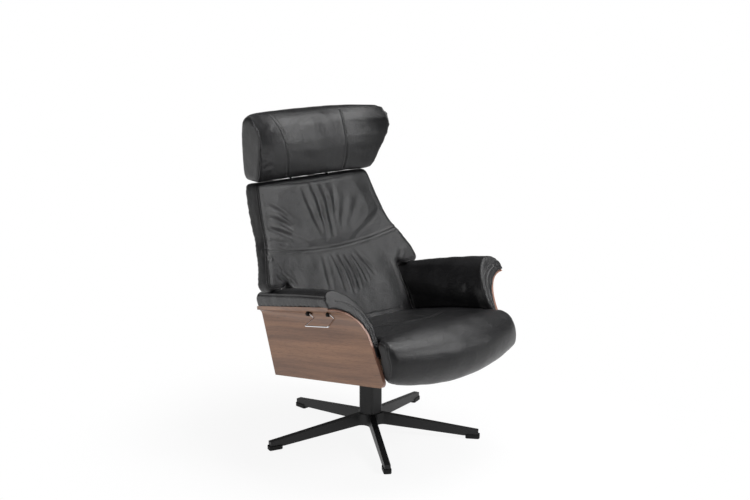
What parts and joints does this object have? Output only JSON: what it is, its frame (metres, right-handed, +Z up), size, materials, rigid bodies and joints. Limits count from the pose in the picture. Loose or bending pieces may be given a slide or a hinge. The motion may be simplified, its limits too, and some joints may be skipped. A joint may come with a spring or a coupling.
{
  "type": "recliner chair",
  "caption": "Swivel recliner on a star base, with moulded wooden side shells, leather cushions, a winged height-adjustable headrest and a wire release handle.",
  "frame": {"origin": "on the floor, under the middle of the whole chair's box, with the back at its most upright and the headrest down", "axes": "+Z up, +Y to the chair's rear, +X to the sitter's left, so the sitter faces -Y and the release handle is on the -X side"},
  "size_m": [0.7736, 0.8665, 1.078],
  "materials": {
    "base_enamel": "satin",
    "black_steel": "satin",
    "bright_steel": "satin",
    "chrome_plate": "polished",
    "black_plastic": "matte",
    "walnut_ply": "satin",
    "plain_ply": "matte",
    "beech": "matte",
    "leather_skin": "satin",
    "black_cloth": "matte"
  },
  "bodies": {
    "base": {"star_base": "base_enamel", "column": "base_enamel", "base_bolts": "bright_steel", "upper_bush": "black_plastic", "lower_bush": "black_plastic", "thrust_washer": "bright_steel", "floor_glide_1": "black_plastic", "floor_glide_2": "black_plastic", "floor_glide_3": "black_plastic", "floor_glide_4": "black_plastic", "floor_glide_5": "black_plastic"},
    "seat": {"swivel_spindle": "bright_steel", "retaining_clip": "bright_steel", "swivel_plate": "black_steel", "plate_bolts": "bright_steel", "support_channel_left": "black_steel", "support_channel_right": "black_steel", "side_rail_left": "beech", "side_rail_right": "beech", "front_rail": "beech", "rear_rail": "beech", "seat_webbing": "black_cloth", "dust_cover": "black_cloth", "side_shell_left": "walnut_ply", "side_shell_right": "walnut_ply", "shell_screws": "bright_steel", "arm_pad_left": "leather_skin", "arm_pad_right": "leather_skin", "seat_cushion": "leather_skin", "hinge_block_left": "bright_steel", "hinge_block_right": "bright_steel", "gas_cylinder": "black_steel", "gas_anchor": "black_steel", "handle_eyelets": "black_plastic"},
    "back": {"recline_tube": "black_steel", "gas_lever": "black_steel", "back_bracket_left": "black_steel", "back_bracket_right": "black_steel", "bracket_bolts": "bright_steel", "back_shell": "plain_ply", "back_cushion": "leather_skin", "back_cover": "leather_skin", "headrest_guide": "black_plastic"},
    "gas_rod": {"gas_rod": "chrome_plate"},
    "carriage": {"headrest_posts": "chrome_plate"},
    "headrest": {"headrest_plate": "black_steel", "headrest_cushion": "leather_skin"},
    "handle": {"release_handle": "chrome_plate"}
  },
  "joints": [
    {"name": "swivel", "type": "hinge", "parent": "base", "child": "seat", "pos_m": [0, 0.038, 0.225], "axis": [0, 0, 1], "continuous": true},
    {"name": "back_recline", "type": "hinge", "parent": "seat", "child": "back", "pos_m": [0, 0.15896, 0.32337], "axis": [-1, 0, 0], "range_deg": [0, 25]},
    {"name": "gas_rod_slide", "type": "slide", "parent": "seat", "child": "gas_rod", "axis": [0, -0.9833, 0.1822], "range_m": [0, 0.0284]},
    {"name": "headrest_height", "type": "slide", "parent": "back", "child": "carriage", "axis": [0, 0.4384, 0.8988], "range_m": [0, 0.06]},
    {"name": "headrest_tilt", "type": "hinge", "parent": "carriage", "child": "headrest", "pos_m": [0, 0.37896, 0.89047], "axis": [1, 0, 0], "range_deg": [-10, 12]},
    {"name": "release_handle_lift", "type": "hinge", "parent": "seat", "child": "handle", "pos_m": [-0.322, -0.08917, 0.50462], "axis": [0, 0.9833, -0.1822], "range_deg": [0, 18], "stiffness_Nm_per_rad": 0.5, "springref_deg": -5.73}
  ],
  "couplings": [
    {"joint": "gas_rod_slide", "follows": "back_recline", "m_per_rad": 0.064486}
  ]
}
